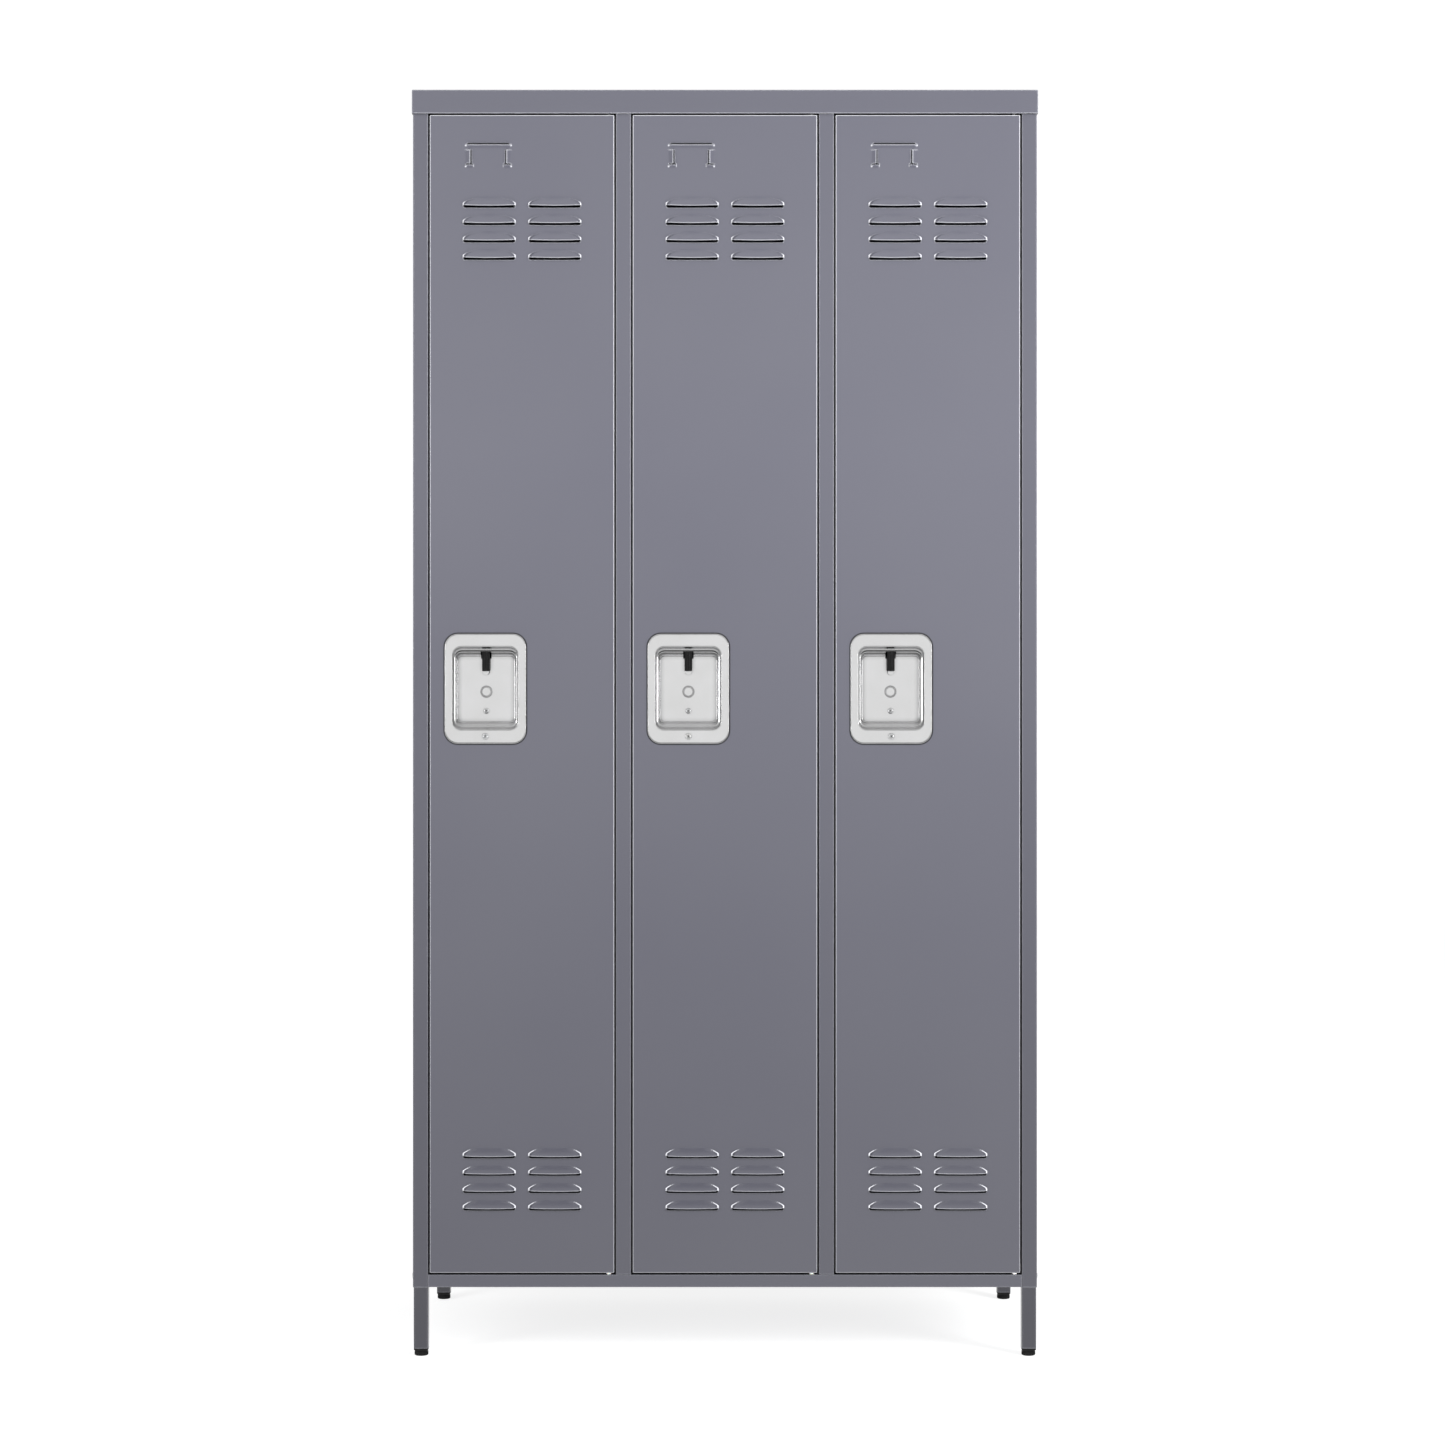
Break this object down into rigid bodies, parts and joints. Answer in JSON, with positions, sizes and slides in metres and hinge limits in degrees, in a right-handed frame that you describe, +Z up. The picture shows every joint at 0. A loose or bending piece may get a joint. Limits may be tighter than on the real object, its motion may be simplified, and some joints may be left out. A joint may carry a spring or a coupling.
{
  "type": "locker cabinet",
  "caption": "Grey steel locker with hinged louvred doors, recessed lift handles, card holders, shelves and rods, on square legs.",
  "frame": {"origin": "on the floor, in the middle of the overall width and depth", "axes": "+X to the right as seen from the front, +Y to the rear, +Z up; the doors face -Y"},
  "size_m": [0.9, 0.45, 1.82],
  "materials": {
    "powder_coat": "satin grey powder coat with fine orange peel",
    "stainless_steel": "satin stainless steel",
    "zinc_plated_steel": "bright zinc plate",
    "chromed_tube": "polished chrome",
    "spring_steel": "drawn wire",
    "black_plastic": "moulded black plastic with a fine grain",
    "white_nylon": "natural nylon",
    "black_rubber": "matt rubber"
  },
  "bodies": {
    "cabinet": {"side_panel_left": "powder_coat", "side_panel_right": "powder_coat", "mullion_left": "powder_coat", "mullion_right": "powder_coat", "partition_left": "powder_coat", "partition_right": "powder_coat", "back_panel": "powder_coat", "bottom_panel": "powder_coat", "top_rail": "powder_coat", "top_cover": "powder_coat", "shelf_brackets": "powder_coat", "frame_hooks": "powder_coat", "hat_shelf_left": "powder_coat", "hat_shelf_middle": "powder_coat", "hat_shelf_right": "powder_coat", "hanging_rods": "chromed_tube", "rod_sockets": "zinc_plated_steel", "door_bumpers": "black_rubber", "hinge_bushes": "white_nylon", "leg_front_left": "powder_coat", "leg_front_right": "powder_coat", "leg_rear_left": "powder_coat", "leg_rear_right": "powder_coat", "foot_plugs": "black_plastic", "leg_screws": "zinc_plated_steel"},
    "door_left": {"door_skin_left": "powder_coat", "door_stiffener_left": "powder_coat", "handle_pan_left": "stainless_steel", "pan_rivets_left": "stainless_steel", "latch_guides_left": "black_plastic", "hinge_pins_left": "zinc_plated_steel"},
    "door_middle": {"door_skin_middle": "powder_coat", "door_stiffener_middle": "powder_coat", "handle_pan_middle": "stainless_steel", "pan_rivets_middle": "stainless_steel", "latch_guides_middle": "black_plastic", "hinge_pins_middle": "zinc_plated_steel"},
    "door_right": {"door_skin_right": "powder_coat", "door_stiffener_right": "powder_coat", "handle_pan_right": "stainless_steel", "pan_rivets_right": "stainless_steel", "latch_guides_right": "black_plastic", "hinge_pins_right": "zinc_plated_steel"},
    "latch_left": {"latch_bar_left": "zinc_plated_steel", "finger_lift_left": "stainless_steel", "finger_grip_left": "black_plastic", "latch_spring_left": "spring_steel"},
    "latch_middle": {"latch_bar_middle": "zinc_plated_steel", "finger_lift_middle": "stainless_steel", "finger_grip_middle": "black_plastic", "latch_spring_middle": "spring_steel"},
    "latch_right": {"latch_bar_right": "zinc_plated_steel", "finger_lift_right": "stainless_steel", "finger_grip_right": "black_plastic", "latch_spring_right": "spring_steel"},
    "foot_front_left": {"levelling_foot_front_left": "black_plastic"},
    "foot_front_right": {"levelling_foot_front_right": "black_plastic"},
    "foot_rear_left": {"levelling_foot_rear_left": "black_plastic"},
    "foot_rear_right": {"levelling_foot_rear_right": "black_plastic"}
  },
  "joints": [
    {"name": "door_left_hinge", "type": "hinge", "parent": "cabinet", "child": "door_left", "pos_m": [-0.16703, -0.2145, 0.9517], "axis": [0, 0, 1], "range_deg": [0, 115]},
    {"name": "door_middle_hinge", "type": "hinge", "parent": "cabinet", "child": "door_middle", "pos_m": [0.12463, -0.2145, 0.9517], "axis": [0, 0, 1], "range_deg": [0, 115]},
    {"name": "door_right_hinge", "type": "hinge", "parent": "cabinet", "child": "door_right", "pos_m": [0.4163, -0.2145, 0.9517], "axis": [0, 0, 1], "range_deg": [0, 115]},
    {"name": "latch_left_lift", "type": "slide", "parent": "door_left", "child": "latch_left", "axis": [0, 0, 1], "range_m": [0, 0.012], "stiffness_N_per_m": 1000, "springref_m": -0.003, "deforming": ["latch_spring_left"]},
    {"name": "latch_middle_lift", "type": "slide", "parent": "door_middle", "child": "latch_middle", "axis": [0, 0, 1], "range_m": [0, 0.012], "stiffness_N_per_m": 1000, "springref_m": -0.003, "deforming": ["latch_spring_middle"]},
    {"name": "latch_right_lift", "type": "slide", "parent": "door_right", "child": "latch_right", "axis": [0, 0, 1], "range_m": [0, 0.012], "stiffness_N_per_m": 1000, "springref_m": -0.003, "deforming": ["latch_spring_right"]},
    {"name": "foot_front_left_screw", "type": "slide", "parent": "cabinet", "child": "foot_front_left", "axis": [0, 0, -1], "range_m": [0, 0.012]},
    {"name": "foot_front_right_screw", "type": "slide", "parent": "cabinet", "child": "foot_front_right", "axis": [0, 0, -1], "range_m": [0, 0.012]},
    {"name": "foot_rear_left_screw", "type": "slide", "parent": "cabinet", "child": "foot_rear_left", "axis": [0, 0, -1], "range_m": [0, 0.012]},
    {"name": "foot_rear_right_screw", "type": "slide", "parent": "cabinet", "child": "foot_rear_right", "axis": [0, 0, -1], "range_m": [0, 0.012]}
  ]
}
